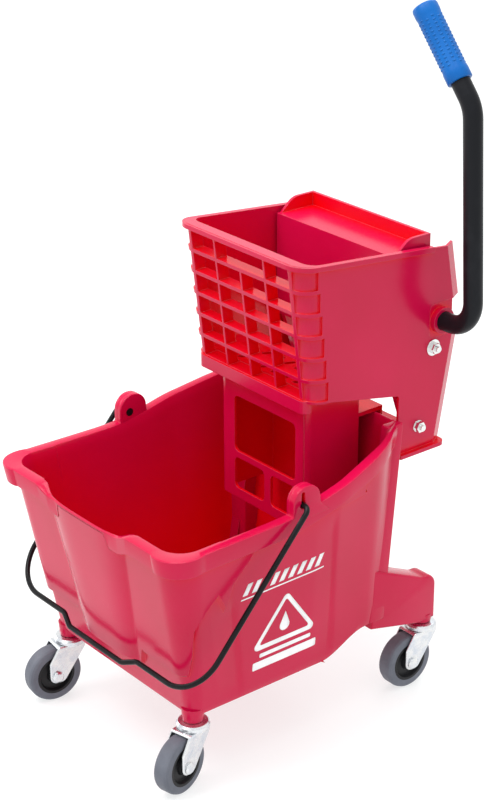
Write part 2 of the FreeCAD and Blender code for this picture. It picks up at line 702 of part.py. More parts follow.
    # drain slots in the hopper floor, above the skirt
    slots = [block((across - 4, front + 15, floor_low - 30),
                   (across + 4, back - 18, floor_low + 10)) for across in range(-62, 84, 22)]
    body = body.cut(slots + [shaft_slot(half + 20)])
    for place_y, place_z in (("hinge_y", "hinge_z"), ("bearing_bolt_y", "bearing_bolt_z")):
        body = body.cut(rod(size("bolt_radius") + size("bolt_play"),
                            (-half - 20, size(place_y), size(place_z)), (1, 0, 0), 2 * half + 40))
    return body


sub_part(solid_feature("wringer_body", wringer_shape()), "wringer_body")


# ---------------------------------------------------------------- shaft bearings and bolts
def bearing(side):
    """Block that fills the side plate's channel and carries the shaft."""
    half, wall = size("wringer_half"), size("plate_wall")
    high = size("slot_height") / 2 - 0.1
    reach = size("shaft_y") - 17.9
    middle = side * (half - wall / 2)
    core_back, shaft_z = size("wringer_back") - 24, size("shaft_z")
    core_points = [(reach, shaft_z - high), (core_back, shaft_z - high),
                   (core_back, shaft_z + high), (reach, shaft_z + high)]
    core = slab(core_points, [8, 0, 0, 8], middle, wall)
    inner = side * (half - wall - 3)
    low = size("bearing_bolt_z") - 12
    flange_back = size("wringer_back") - size("strip_width") - 13
    flange = slab([(reach - 6, low), (flange_back, low),
                   (flange_back, shaft_z + high + 6), (reach - 6, shaft_z + high + 6)],
                  [10, 10, 10, 10], inner, 6)
    collar = rod(17.5, (side * (half - 1), size("shaft_y"), size("shaft_z")), (side, 0, 0), 9)
    piece = joined([core, flange, collar])
    bore = rod(size("tube_radius") + size("shaft_play"),
               (-200, size("shaft_y"), size("shaft_z")), (1, 0, 0), 400)
    bolt = rod(size("bolt_radius") + size("bolt_play"),
               (-200, size("bearing_bolt_y"), size("bearing_bolt_z")), (1, 0, 0), 400)
    return piece.cut([bore, bolt])


for side_name, side in (("left", -1), ("right", 1)):
    sub_part(solid_feature(f"shaft_bearing_{side_name}", bearing(side)),
             f"shaft_bearing_{side_name}")


def bolt_set(prefix, along, up, inside, washer):
    """Bolts pushed out through both side plates, with a washer and a nut on each."""
    half = size("wringer_half")
    shank, head = size("bolt_radius"), size("bolt_radius") + 3.5
    bolts, washers, nuts = [], [], []
    for side in (-1, 1):
        centre = (side * inside, along, up)
        bolt = rod(shank, centre, (side, 0, 0), half + 12 - inside)
        bolts.append(bolt.fuse(rod(head, (side * (inside - 3), along, up), (side, 0, 0), 3)))
        ring = rod(washer, (side * half, along, up), (side, 0, 0), 1.6)
        washers.append(ring.cut(rod(shank, centre, (side, 0, 0), half)))
        flats = [Vector(side * (half + 1.6), along + 7.5 * math.cos(math.radians(60 * k)),
                        up + 7.5 * math.sin(math.radians(60 * k))) for k in range(6)]
        nut = Part.Face(Part.makePolygon(flats + flats[:1])).extrude(Vector(side * 6.5, 0, 0))
        nuts.append(nut.cut(rod(shank, centre, (side, 0, 0), half)))
    for kind, shapes in (("bolts", bolts), ("washers", washers), ("nuts", nuts)):
        label = f"{prefix}_{kind}"
        sub_part(solid_feature(label, Part.makeCompound(shapes)), label)


bolt_set("bearing", size("bearing_bolt_y"), size("bearing_bolt_z"),
         size("wringer_half") - size("plate_wall") - 6, size("washer_radius"))
bolt_set("hinge", size("hinge_y"), size("hinge_z"),
         size("arm_x") - size("arm_thick") / 2 - 0.5, size("washer_radius") - 3)


# ---------------------------------------------------------------- press plate
def press_shape():
    half, face, back = size("press_half"), size("press_face"), size("press_back")
    foot, ledge, rim = size("press_foot"), size("tray_floor"), size("tray_top")
    wall = 4.0
    panel = block((-half, face, foot), (half, face + wall, ledge))
    tray = block((-half, face, ledge - wall), (half, back + 4, ledge))
    rear = block((-half, back, ledge - wall), (half, back + 4, rim))
    cheek = slab([(face, foot), (face + 34, foot + 14), (back - 12, foot + 24),
                  (back - 12, ledge - 50), (back + 4, ledge - 30), (back + 4, rim),
                  (face + 26, rim), (face, ledge - 4)],
                 [3, 10, 10, 10, 10, 4, 26, 30], half - wall / 2, wall)
    pad = slab([(face, foot + 8), (back - 12, foot + 26), (back - 12, foot + 34),
                (back, foot + 42), (back, foot + 98), (back - 24, ledge - 2), (face, ledge - 2)],
               [0, 6, 4, 4, 4, 10, 0], size("cam_x"), size("cam_thick") + 3)
    ribs = [slab([(face, foot + 4), (face + 30, foot + 20), (face + 44, foot + 60),
                  (face + 44, ledge - 2), (face, ledge - 2)], [0, 8, 12, 0, 0], across, 4)
            for across in (-38, 0, 38)]
    hinge_y, hinge_z = size("hinge_y"), size("hinge_z")
    end = 12.5
    arm = slab([(face, foot + 30), (face, foot), (hinge_y - end, hinge_z + 10),
                (hinge_y - end, hinge_z - end), (hinge_y + end, hinge_z - end),
                (hinge_y + end, hinge_z + 10), (back - 14, foot + 40)],
               [0, 0, 20, end - 0.1, end - 0.1, 20, 0], size("arm_x"), size("arm_thick"))
    plate = joined([panel, tray, rear, *mirrored(cheek), *mirrored(pad), *ribs, *mirrored(arm)])
    bolts = rod(size("bolt_radius") + size("bolt_play"), (-200, hinge_y, hinge_z), (1, 0, 0), 400)
    return plate.cut(bolts)


sub_part(solid_feature("press_plate", press_shape()), "press_plate")


# ---------------------------------------------------------------- lever and cams
def lever_path():
    across, high = size("lever_x"), size("lever_height")
    start = -(size("wringer_half") + 10)
    lean = math.radians(size("grip_lean"))
    bend_x = across - size("lever_lean")
    reach = size("grip_start") + size("grip_length") - size("grip_wall")
    points = [(start, 0), (across, 0), (bend_x, high),
              (bend_x - reach * math.sin(lean), high + reach * math.cos(lean))]
    return rounded_wire(points, [0, 38, 45, 0],
                        lambda p: Vector(p.x, size("shaft_y"), size("shaft_z") + p.y),
                        closed=False)


def pin_rods(length):
    """Rods across the shaft, where pins hold the cams to it."""
    return [rod(size("pin_radius"), (side * size("cam_x"), size("shaft_y") - length / 2,
                                     size("shaft_z")), (0, 1, 0), length) for side in (-1, 1)]


def lever_shape():
    path = lever_path()
    outer = tube_along(path, size("tube_radius"))
    inner = tube_along(path, size("tube_radius") - size("tube_wall"))
    return outer.cut([inner] + pin_rods(80))


sub_part(solid_feature("lever_tube", lever_shape()), "lever_tube")

lean = size("grip_lean")
grip_turn = App.Rotation(Vector(0, 1, 0), -lean)
grip = turned("lever_grip", [
    ("tube_radius", "0"), ("tube_radius + grip_wall - 1", "0"), ("tube_radius + grip_wall", "1"),
    ("tube_radius + grip_wall", "grip_length - 2.5"),
    ("tube_radius + grip_wall - 2.5", "grip_length"), ("0", "grip_length"),
    ("0", "grip_length - grip_wall"), ("tube_radius", "grip_length - grip_wall")],
    f"lever_x - lever_lean - grip_start * {math.sin(math.radians(lean)):.9f}",
    "shaft_y", f"shaft_z + lever_height + grip_start * {math.cos(math.radians(lean)):.9f}",
    grip_turn)
sub_part(grip, "lever_grip")

cap_x = "-(wringer_half) - 10"
plug = turned("shaft_end_cap", [
    ("0", "0"), ("tube_radius - tube_wall - 0.5", "0"), ("tube_radius - tube_wall", "1"),
    ("tube_radius - tube_wall", "12"), ("tube_radius + 2.5", "12"), ("tube_radius + 3", "14"),
    ("tube_radius - 2", "16"), ("0", "16")],
    f"{cap_x} + 12", "shaft_y", "shaft_z", App.Rotation(Vector(0, 1, 0), -90))
sub_part(plug, "shaft_end_cap")


def cam_shape(side):
    """Lobe whose push on the flat pads turns the plate in a constant ratio to the lever.

    The pads' plane stands `rest` behind the hinge; at plate angle phi it stands h(phi) from
    the shaft, and the lobe is the envelope of that plane as the lever turns.
    """
    ratio, swing = size("press_ratio"), math.radians(size("lever_swing"))
    along, up = size("shaft_y") - size("hinge_y"), size("shaft_z") - size("hinge_z")
    rest = size("press_back") - size("hinge_y")
    envelope = []
    steps = 24
    for step in range(steps + 1):
        turn = swing * step / steps
        phi = ratio * turn
        gap = along * math.cos(phi) + up * math.sin(phi) - rest - size("cam_play")
        rate = -(up * math.cos(phi) - along * math.sin(phi)) * ratio / (1 - ratio)
        facing = math.pi - (1 - ratio) * turn
        envelope.append(Vector(0, gap * math.cos(facing) - rate * math.sin(facing),
                               gap * math.sin(facing) + rate * math.cos(facing)))
    flank = Part.BSplineCurve()
    flank.interpolate(envelope)
    hub = size("shaft_y") - size("press_back") - size("cam_play")
    first, last = envelope[0], envelope[-1]
    back = Part.Arc(last, last + Vector(0, 9, -12), Vector(0, hub + 7, 12)).toShape()
    down = Part.Arc(Vector(0, hub + 7, 12), Vector(0, hub * 0.6, -hub - 4),
                    Vector(0, -hub, -4)).toShape()
    rise = Part.LineSegment(Vector(0, -hub, -4), first).toShape()
    wire = Part.Wire([flank.toShape(), back, down, rise])
    thick = size("cam_thick")
    centre = Vector(side * size("cam_x") - thick / 2, size("shaft_y"), size("shaft_z"))
    lobe = Part.Face(wire).extrude(Vector(thick, 0, 0))
    lobe.translate(centre)
    bore = rod(size("tube_radius"), (-200, size("shaft_y"), size("shaft_z")), (1, 0, 0), 400)
    return lobe.cut([bore] + pin_rods(80))


for side_name, side in (("left", -1), ("right", 1)):
    sub_part(solid_feature(f"press_cam_{side_name}", cam_shape(side)), f"press_cam_{side_name}")
sub_part(solid_feature("cam_pins", Part.makeCompound(pin_rods(32))), "cam_pins")


# ---------------------------------------------------------------- output
doc.recompute()
for thing in doc.Objects:
    if {"Invalid", "Error"} & set(thing.State):
        raise RuntimeError(f"{thing.Label}: {thing.State}")
for label, thing in SUB_PARTS.items():
    if thing.Shape.isNull() or not thing.Shape.isValid() or not thing.Shape.Solids:
        raise RuntimeError(f"{label}: no valid solid")
os.makedirs("parts", exist_ok=True)
for label, thing in SUB_PARTS.items():
    thing.Shape.exportStep(os.path.join("parts", f"{label}.step"))
print(len(SUB_PARTS), "sub-parts written")
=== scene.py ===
# %% [markdown]
# # A mop bucket with a side-press wringer
# The bucket is one red moulding on four swivel casters. A wringer hooks over its rear rim, and a
# bent tube with a blue grip turns the cams that push the press plate. The joints, the metalwork
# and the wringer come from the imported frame. This lesson dresses them and rebuilds what a thin
# moulding needs and a plain solid lacks: folds in the wall, a rolled flange, studs on the grip.

# %% Load the frame
import bmesh
import bpy
import json
import math
from mathutils import Matrix, Vector


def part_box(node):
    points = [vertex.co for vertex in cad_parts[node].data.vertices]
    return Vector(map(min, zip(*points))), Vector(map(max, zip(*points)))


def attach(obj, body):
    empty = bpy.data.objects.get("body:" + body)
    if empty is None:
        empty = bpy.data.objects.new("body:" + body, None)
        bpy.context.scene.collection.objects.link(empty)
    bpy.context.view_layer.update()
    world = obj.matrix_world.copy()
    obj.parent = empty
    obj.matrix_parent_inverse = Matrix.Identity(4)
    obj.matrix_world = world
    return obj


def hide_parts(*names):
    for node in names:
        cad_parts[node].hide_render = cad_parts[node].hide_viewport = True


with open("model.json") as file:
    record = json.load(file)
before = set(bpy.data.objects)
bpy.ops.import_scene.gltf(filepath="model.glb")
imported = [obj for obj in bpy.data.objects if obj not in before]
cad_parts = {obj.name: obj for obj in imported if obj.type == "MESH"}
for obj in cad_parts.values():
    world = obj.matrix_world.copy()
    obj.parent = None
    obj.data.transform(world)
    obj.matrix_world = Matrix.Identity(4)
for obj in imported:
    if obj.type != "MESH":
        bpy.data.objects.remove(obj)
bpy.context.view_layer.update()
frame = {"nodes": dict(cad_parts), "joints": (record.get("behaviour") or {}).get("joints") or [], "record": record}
MM = 0.001
nodes = frame["nodes"]

# %% [markdown]
# ## Camera
# A long lens keeps a product's uprights nearly parallel. The camera is placed by turning round
# the object's middle, which is easier to think about than three coordinates.

# %% Place the camera
AZIMUTH, ELEVATION = math.radians(51.3), math.radians(23.8)
TARGET = Vector((-0.0004, -0.0042, 0.4221))
DISTANCE = 2.5531
LENS_MM, SENSOR_MM = 90.0, 36.0
ROLL = math.radians(-0.3)


def aimed(spot, target, roll=0.0):
    """The matrix of a camera or light at a spot that looks at a target."""
    heading = (target - spot).to_track_quat("-Z", "Y").to_matrix().to_4x4()
    return Matrix.Translation(spot) @ heading @ Matrix.Rotation(roll, 4, "Z")


def round_about(azimuth, elevation, distance):
    """A point round the target; azimuth 0 is in front of the pouring lip."""
    flat = math.cos(elevation)
    return TARGET + distance * Vector((math.sin(azimuth) * flat, -math.cos(azimuth) * flat,
                                       math.sin(elevation)))


lens = bpy.data.cameras.new("camera")
lens.lens = LENS_MM
lens.sensor_width = SENSOR_MM
camera = bpy.data.objects.new("camera", lens)
bpy.context.scene.collection.objects.link(camera)
camera.matrix_world = aimed(round_about(AZIMUTH, ELEVATION, DISTANCE), TARGET, ROLL)
bpy.context.scene.camera = camera
print("camera at", [round(v, 3) for v in camera.matrix_world.translation])

# %% [markdown]
# ## Studio
# Glossy plastic looks like what it reflects, so the room is a pale one: a pale floor and a white
# world. Four large soft lights shape the folds: a key in front, one overhead, one behind, and a
# weak one that fills the left side.

# %% Build the studio
scene = bpy.context.scene
scene.view_settings.view_transform = "Standard"
WORLD_STRENGTH, FLOOR_HALF = 1.08, 12.0

world = bpy.data.worlds.new("studio")
world.use_nodes = True
world.node_tree.nodes["Background"].inputs["Color"].default_value = (1.0, 1.0, 1.0, 1.0)
world.node_tree.nodes["Background"].inputs["Strength"].default_value = WORLD_STRENGTH
scene.world = world


def soft_light(name, azimuth, elevation, distance, width, watts):
    """A square light that looks at the object's middle."""
    data = bpy.data.lights.new(name, "AREA")
    data.shape = "SQUARE"
    data.size = width
    data.energy = watts
    light = bpy.data.objects.new(name, data)
    scene.collection.objects.link(light)
    spot = round_about(math.radians(azimuth), math.radians(elevation), distance)
    light.matrix_world = aimed(spot, TARGET)


soft_light("key_light", -20, 58, 2.6, 1.2, 34)
soft_light("top_light", 40, 84, 2.6, 1.4, 30)
soft_light("left_light", -72, 14, 2.4, 0.9, 8)
soft_light("rear_light", 200, 50, 3.0, 1.4, 18)

floor_mesh = bpy.data.meshes.new("floor")
sheet = bmesh.new()
bmesh.ops.create_grid(sheet, x_segments=1, y_segments=1, size=FLOOR_HALF)
sheet.to_mesh(floor_mesh)
sheet.free()
floor = bpy.data.objects.new("floor", floor_mesh)
scene.collection.objects.link(floor)

# %% [markdown]
# ## A small language for finishes
# A finish is worked out by nodes, and nodes wired by hand hide the sum that they stand for. Here
# a socket is wrapped in a class that knows arithmetic, so that a mask reads like a formula, and
# every other node comes from one method.


# %% Signals and finishes
class Signal:
    """An output socket that can be added, multiplied, and taken from a number."""

    def __init__(self, finish, socket):
        self.finish = finish
        self.socket = socket

    def maths(self, operation, first, second):
        return self.finish.node("ShaderNodeMath", {"operation": operation},
                                {0: first, 1: second})

    def __add__(self, other):
        return self.maths("ADD", self, other)

    def __rsub__(self, other):
        return self.maths("SUBTRACT", other, self)

    def __mul__(self, other):
        return self.maths("MULTIPLY", self, other)

    __radd__ = __add__
    __rmul__ = __mul__

    def ramp(self, low, high):
        """0 below low, 1 above high, and a straight line between them."""
        return self.finish.node("ShaderNodeMapRange", {"clamp": True},
                                {"Value": self, "From Min": low, "From Max": high})


class Finish:
    """A material that is being mixed."""

    def __init__(self, name, **constants):
        self.material = bpy.data.materials.new(name)
        self.material.use_nodes = True
        self.tree = self.material.node_tree
        self.shader = self.tree.nodes["Principled BSDF"]
        for socket, value in constants.items():
            self.shader.inputs[socket.replace("_", " ")].default_value = value
        self.place = self.node("ShaderNodeTexCoord", output="Object")

    def node(self, kind, settings=None, inputs=None, output=0):
        """Add a node: settings first, then the values or links of its sockets."""
        made = self.tree.nodes.new(kind)
        for setting, value in (settings or {}).items():
            setattr(made, setting, value)
        for socket, value in (inputs or {}).items():
            if isinstance(value, Signal):
                self.tree.links.new(value.socket, made.inputs[socket])
            else:
                made.inputs[socket].default_value = value
        return Signal(self, made.outputs[output])

    def noise(self, scale, detail=2.0, roughness=0.5, place=None):
        return self.node("ShaderNodeTexNoise", {},
                         {"Vector": place or self.place, "Scale": scale, "Detail": detail,
                          "Roughness": roughness})

    def stretched(self, x, y, z):
        """Object coordinates with each axis scaled by itself."""
        return self.node("ShaderNodeMapping", {}, {"Vector": self.place, "Scale": (x, y, z)})

    def mixed(self, share, first, second):
        """A colour between two, each a colour or a signal."""
        return self.node("ShaderNodeMix", {"data_type": "RGBA"}, {0: share, 6: first, 7: second},
                         output=2)

    def edges_for_painted_highlight(self, radius):
        """The rounded normal, and a mask that is 1 on an outside or inside edge and 0 on the flat, for a painted
        edge highlight.
        """
        rounded = self.node("ShaderNodeBevel", {"samples": 4}, {"Radius": radius})
        flat = self.node("ShaderNodeNewGeometry", output="Normal")
        facing = self.node("ShaderNodeVectorMath", {"operation": "DOT_PRODUCT"},
                           {0: rounded, 1: flat}, output="Value")
        return rounded, (1.0 - facing).ramp(0.02, 0.25)

    def openness(self, reach):
        """1 where the piece lies open to the room and 0 deep in its own hollows; it mixes painted light into a
        colour.
        """
        return self.node("ShaderNodeAmbientOcclusion", {"samples": 6, "only_local": True},
                         {"Distance": reach}, output="AO").ramp(0.50, 0.95)

    def set(self, **signals):
        """Feed the shader's sockets."""
        for socket, signal in signals.items():
            self.tree.links.new(signal.socket, self.shader.inputs[socket.replace("_", " ")])
        return self.material

    def bump(self, height, distance, strength=1.0, normal=None):
        inputs = {"Height": height, "Distance": distance, "Strength": strength}
        if normal:
            inputs["Normal"] = normal
        return self.node("ShaderNodeBump", {}, inputs)


print("finish kit ready")

# %% [markdown]
# ## Finishes
# Moulded polypropylene is glossy, but never evenly so: the mould's polish varies and handling
# scuffs the faces. Each of these is a slow noise, at the size it has on the real thing. The edge
# mask paints a paler line on the edges, a painted highlight. Open faces get a paler, cooler red as a
# painted sheen, and hollows a brighter red painted against their shade, so the red is mixed by how open a point
# is.


# %% Red polypropylene
def moulded_red(name, edge_radius):
    finish = Finish(name, IOR=1.49, Specular_IOR_Level=0.28)
    rounded, edge = finish.edges_for_painted_highlight(edge_radius)
    cloud = finish.noise(7.0, 3.0)
    peel = finish.noise(230.0, 2.0)
    scuff = finish.noise(1.0, 5.0, 0.7, finish.stretched(420.0, 90.0, 260.0)).ramp(0.56, 0.80)
    # The open faces' colour: a random tone between two reds, both paler and bluer than the hollows' red, as a
    # painted sheen
    tone_and_painted_sheen = finish.mixed(cloud.ramp(0.3, 0.7), (0.470, 0.0016, 0.0400, 1.0),
                         (0.530, 0.0024, 0.0520, 1.0))
    # Hollows get a brighter red, painted light that lifts their shade; open faces get the painted sheen
    body = finish.mixed(finish.openness(240 * MM), (0.700, 0.0006, 0.0040, 1.0), tone_and_painted_sheen)
    # A paler pink line on the edges: a painted highlight
    body = finish.mixed(edge * 0.62, body, (0.80, 0.085, 0.150, 1.0))
    body = finish.mixed(scuff * 0.04, body, (0.70, 0.10, 0.15, 1.0))
    return finish.set(Base_Color=body,
                      Roughness=0.13 + cloud * 0.12 + scuff * 0.12 + edge * 0.06,
                      Normal=finish.bump(peel, 0.00002, 0.5, rounded))


RED = moulded_red("red_polypropylene", 1.1 * MM)


# %% Metals
def zinc_plate(name, tint, dullness):
    finish = Finish(name, Metallic=1.0)
    rounded, edge = finish.edges_for_painted_highlight(0.7 * MM)
    spangle = finish.noise(75.0, 4.0, 0.6)
    brushed = finish.noise(1.0, 3.0, 0.6, finish.stretched(140.0, 140.0, 1500.0))
    colour = finish.mixed(spangle.ramp(0.3, 0.7), tint, (0.82, 0.82, 0.80, 1.0))
    # Near-white edges: a painted highlight
    colour = finish.mixed(edge * 0.5, colour, (0.93, 0.94, 0.95, 1.0))
    return finish.set(Base_Color=colour, Roughness=dullness + spangle * 0.14 + brushed * 0.08,
                      Normal=finish.bump(brushed + spangle * 0.5, 0.00005, 0.35, rounded))


ZINC = zinc_plate("zinc_plate", (0.60, 0.64, 0.70, 1.0), 0.16)
BRIGHT = zinc_plate("bright_steel", (0.70, 0.71, 0.73, 1.0), 0.08)


# %% Coated steel
def coated(name, colour, dullness, peel_scale):
    """Powder coat: a dense orange peel, and dust in patches over it."""
    finish = Finish(name, IOR=1.5, Specular_IOR_Level=0.15)
    peel = finish.noise(peel_scale, 2.0)
    dust = finish.noise(24.0, 5.0, 0.6).ramp(0.52, 0.8)
    shade = finish.mixed(dust * 0.25, colour, (0.030, 0.032, 0.038, 1.0))
    return finish.set(Base_Color=shade, Roughness=dullness + dust * 0.14 + peel * 0.06,
                      Normal=finish.bump(peel, 0.00010, 0.35))


POWDER = coated("black_powder_coat", (0.0065, 0.0072, 0.0095, 1.0), 0.30, 520.0)
WIRE = coated("black_wire", (0.0060, 0.0060, 0.0070, 1.0), 0.24, 900.0)


# %% Rubber, nylon and vinyl
def soft_plastic(name, low, high, dullness, grain_scale, relief, painted_highlight_colour):
    finish = Finish(name, IOR=1.5, Specular_IOR_Level=0.20)
    rounded, edge = finish.edges_for_painted_highlight(0.8 * MM)
    cloud = finish.noise(38.0, 4.0, 0.6)
    grain = finish.noise(grain_scale, 3.0)
    colour = finish.mixed(cloud.ramp(0.3, 0.7), low, high)
    # Paler edges: a painted highlight
    colour = finish.mixed(edge * 0.35, colour, painted_highlight_colour)
    return finish.set(Base_Color=colour, Roughness=dullness + cloud * 0.12 + edge * 0.08,
                      Normal=finish.bump(grain, relief, 0.5, rounded))


TYRE = soft_plastic("grey_rubber", (0.108, 0.116, 0.142, 1.0), (0.144, 0.154, 0.185, 1.0),
                    0.42, 900.0, 0.00010, (0.24, 0.245, 0.27, 1.0))
NYLON = soft_plastic("black_nylon", (0.008, 0.008, 0.009, 1.0), (0.014, 0.014, 0.016, 1.0),
                     0.30, 1400.0, 0.00005, (0.05, 0.05, 0.055, 1.0))
VINYL = soft_plastic("blue_vinyl", (0.001, 0.088, 0.330, 1.0), (0.001, 0.108, 0.390, 1.0),
                     0.32, 1100.0, 0.00008, (0.02, 0.24, 0.62, 1.0))
INK = soft_plastic("white_print", (0.78, 0.78, 0.79, 1.0), (0.90, 0.90, 0.90, 1.0),
                   0.38, 1300.0, 0.00004, (0.93, 0.93, 0.93, 1.0))

floor_finish = Finish("studio_floor", Roughness=0.9, Emission_Strength=0.66)
floor_tone = floor_finish.noise(3.0, 2.0)
floor_mesh.materials.append(floor_finish.set(Base_Color=floor_finish.mixed(
    floor_tone, (0.33, 0.345, 0.345, 1.0), (0.36, 0.37, 0.37, 1.0))))
print("finishes:", len(bpy.data.materials))

# %% [markdown]
# ## Dress the nodes that stay
# The forks, stems, bolts, wringer and lever keep their own meshes. They only take the finish
# of the record's slot, and smooth shading up to a crease angle, so that tubes look round and
# folded sheet stays crisp.

# %% Assign finishes by slot
FINISH_OF_SLOT = {"red_polypropylene": RED, "grey_rubber": TYRE, "black_plastic": NYLON,
                  "zinc_steel": ZINC, "bright_steel": BRIGHT, "black_powder_coat": POWDER,
                  "black_wire": WIRE, "blue_vinyl": VINYL}


def dressed(obj, finish, crease=32.0):
    """Give a piece its finish, and smooth shading between creases."""
    obj.data.materials.clear()
    obj.data.materials.append(finish)
    obj.data.shade_smooth()
    obj.data.set_sharp_from_angle(angle=math.radians(crease))


for part in frame["record"]["subparts"]:
    dressed(nodes[part["node"]], FINISH_OF_SLOT[part["material_slot"]])

# %% [markdown]
# ## Helpers for new pieces
# Each new piece is a bmesh that an operator starts. A finished piece's object stays at the
# origin, so its place is in its mesh, as a node's is.


# %% Piece helpers
def piece(name, shape, finish, body, crease=32.0):
    """Close a bmesh into a named piece that rides on a body."""
    bmesh.ops.remove_doubles(shape, verts=shape.verts, dist=0.01 * MM)
    bmesh.ops.recalc_face_normals(shape, faces=shape.faces)
    mesh = bpy.data.meshes.new(name)
    shape.to_mesh(mesh)
    shape.free()
    obj = bpy.data.objects.new(name, mesh)
    scene.collection.objects.link(obj)
    dressed(obj, finish, crease)
    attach(obj, body)
    print(name, len(mesh.polygons), "faces")
    return obj


def rounded_path(points, radii, shares, arc_steps):
    """Points and outward normals along straight runs joined by arcs, in a plane.

    shares gives, for each run, where its points lie between 0 and 1.
    """
    spots = [Vector(point) for point in points]
    trims = [(spots[0], None, spots[0])]
    for before, here, after, radius in zip(spots, spots[1:], spots[2:], radii):
        back, ahead = (before - here).normalized(), (after - here).normalized()
        half = back.angle(ahead) / 2
        reach = radius / math.tan(half)
        centre = here + (back + ahead).normalized() * (radius / math.sin(half))
        trims.append((here + back * reach, centre, here + ahead * reach))
    trims.append((spots[-1], None, spots[-1]))
    path = []
    for index, run in enumerate(shares):
        start, finish = trims[index][2], trims[index + 1][0]
        along = (finish - start).normalized()
        normal = Vector((along.y, -along.x))
        for share in run:
            path.append((start.lerp(finish, share), normal))
        centre = trims[index + 1][1]
        if centre is None:
            continue
        first, last = trims[index + 1][0] - centre, trims[index + 1][2] - centre
        turn = first.angle_signed(last)
        for step in range(1, arc_steps[index]):
            spoke = Matrix.Rotation(-turn * step / arc_steps[index], 2) @ first
            path.append((centre + spoke, spoke.normalized() * math.copysign(1.0, -turn)))
    return path


def evenly(count, last=False):
    """Shares of a run, from 0 up, with the far end only if it is the last run."""
    return [index / count for index in range(count + (1 if last else 0))]


def smooth_step(value):
    value = max(0.0, min(1.0, value))
    return value * value * (3 - 2 * value)

# %% [markdown]
# ## The bucket's plan
# The wall tapers from a small floor to a wide rim. Its plan is a few corners at the floor and at
# the rim, and any level between them is a mix of the two. Only the right half is made: the
# mirror gives the other.


# %% Plan of the bucket
FLOOR_LEVEL, TOP_LEVEL = 100 * MM, 400 * MM
WALL = 3.5 * MM
LOW_PLAN = [(0, -205), (149, -205), (149, 8), (149, 78), (147, 108), (0, 108)]
HIGH_PLAN = [(0, -259), (186.5, -259), (178.5, 10), (157.5, 101.5), (127, 149.5), (0, 149.5)]
LOW_RADII, HIGH_RADII = (18, 120, 60, 12), (40, 150, 90, 12)
SPOUT_SHARE = 0.68
FRONT_SHARES = ([SPOUT_SHARE * share for share in evenly(38)]
                + [SPOUT_SHARE - 0.004, SPOUT_SHARE + 0.004]
                + [SPOUT_SHARE + 0.02 + (0.98 - SPOUT_SHARE) * share for share in evenly(18)])
SIDE_SHARES = ([0.24 * share for share in evenly(46)]
               + [0.24 + 0.76 * share for share in evenly(44)])
PLAN_SHARES = [FRONT_SHARES, SIDE_SHARES, evenly(16), evenly(14), evenly(14, last=True)]
PLAN_ARCS = [22, 6, 6, 8]


def plan(level):
    """(point, outward normal) pairs round the right half of the wall's outside."""
    share = (level - FLOOR_LEVEL) / (TOP_LEVEL - FLOOR_LEVEL)
    corners = [((ax + (bx - ax) * share) * MM, (ay + (by - ay) * share) * MM)
               for (ax, ay), (bx, by) in zip(LOW_PLAN, HIGH_PLAN)]
    radii = [(a + (b - a) * share) * MM for a, b in zip(LOW_RADII, HIGH_RADII)]
    return rounded_path(corners, radii, PLAN_SHARES, PLAN_ARCS)


COLUMNS = len(plan(FLOOR_LEVEL))
print("plan points:", COLUMNS)

# %% [markdown]
# ## Folds in the wall
# The front bulges into a pouring lip. The front corners stand a little prouder than the wall
# beneath them, and their lower edge runs as a stepped line under the lip, round the corner and
# up the side. Each fold is a height above the plain wall, worked out from where a point is.

# %% Heights of the folds
STEP_LINE = [(0, 144), (62, 144), (70, 166), (144, 163), (157, 166), (168, 192), (179.5, 233),
             (203.5, 259), (223, 274), (230, 248), (248.5, 282), (279.4, 308), (300, 332),
             (2000, 332)]
STEP_PROUD, STEP_WIDE = 5.0 * MM, 4.0 * MM
FOLDS_END = 60 * MM
CREASES = [((-158, 262), (-130, 104), 2.6, 34, 7), ((5, 330), (16, 104), 2.4, 30, 6)]
LIP_LOW, LIP_HIGH = 145 * MM, 352 * MM
LIP_HALF_LOW, LIP_HALF_HIGH = 70 * MM, 98 * MM
LIP_PROUD, LIP_SUNK = 14.0 * MM, 5.0 * MM


def front_of(level):
    """Y of the plain front wall at a level."""
    share = (level - FLOOR_LEVEL) / (TOP_LEVEL - FLOOR_LEVEL)
    return (LOW_PLAN[0][1] + (HIGH_PLAN[0][1] - LOW_PLAN[0][1]) * share) * MM


def step_line(across, along, level):
    """(level, slope) of the stepped line under the proud corner, past a point of the wall."""
    travel = (across + along - front_of(level)) / MM
    for (a, za), (b, zb) in zip(STEP_LINE, STEP_LINE[1:]):
        if travel < b:
            slope = (zb - za) / (b - a)
            return (za + slope * (travel - a)) * MM, slope
    return STEP_LINE[-1][1] * MM, 0.0


def crease_fold(along, level):
    """Shallow valleys that run down the side, steep on the rear side of each."""
    deepest = 0.0
    for (y_top, z_top), (y_low, z_low), deep, ahead, behind in CREASES:
        share = (z_top - level / MM) / (z_top - z_low)
        if share < 0 or along > FOLDS_END:
            continue
        offset = along / MM - (y_top + (y_low - y_top) * share)
        reach = 1 + offset / ahead if offset < 0 else 1 - offset / behind
        fade = smooth_step(share * 6) * smooth_step((1 - share) * 5 + 0.2)
        deepest = max(deepest, deep * max(0.0, reach) * fade)
    return -deepest * MM


def lip_fold(across, level):
    """The rounded pouring panel."""
    share = (level - LIP_LOW) / (LIP_HIGH - LIP_LOW)
    half = LIP_HALF_LOW + (LIP_HALF_HIGH - LIP_HALF_LOW) * share
    return max(0.0, (LIP_PROUD + LIP_SUNK) * (1 - (across / half) ** 4) - LIP_SUNK)


def folds(spot, normal, level, above, outside=True):
    """How far the wall stands off its plain plan; above is 0 under the stepped line, else 1."""
    height = lip_fold(spot.x, level) * above if normal.y < -0.99 else 0.0
    if outside and spot.y < FOLDS_END:
        height = max(height, STEP_PROUD * above)
    if outside and normal.x > 0.9:
        height += crease_fold(spot.y, level)
    return height

# %% [markdown]
# ## The rim
# Seen from the side, the rim is level in front and sweeps up towards the wringer, and it dips
# at the pouring lip. The flange rolls outwards and down along the front and sides. At the lip it
# thins to a bead, and at the rear it dies away to let the wringer hook on.

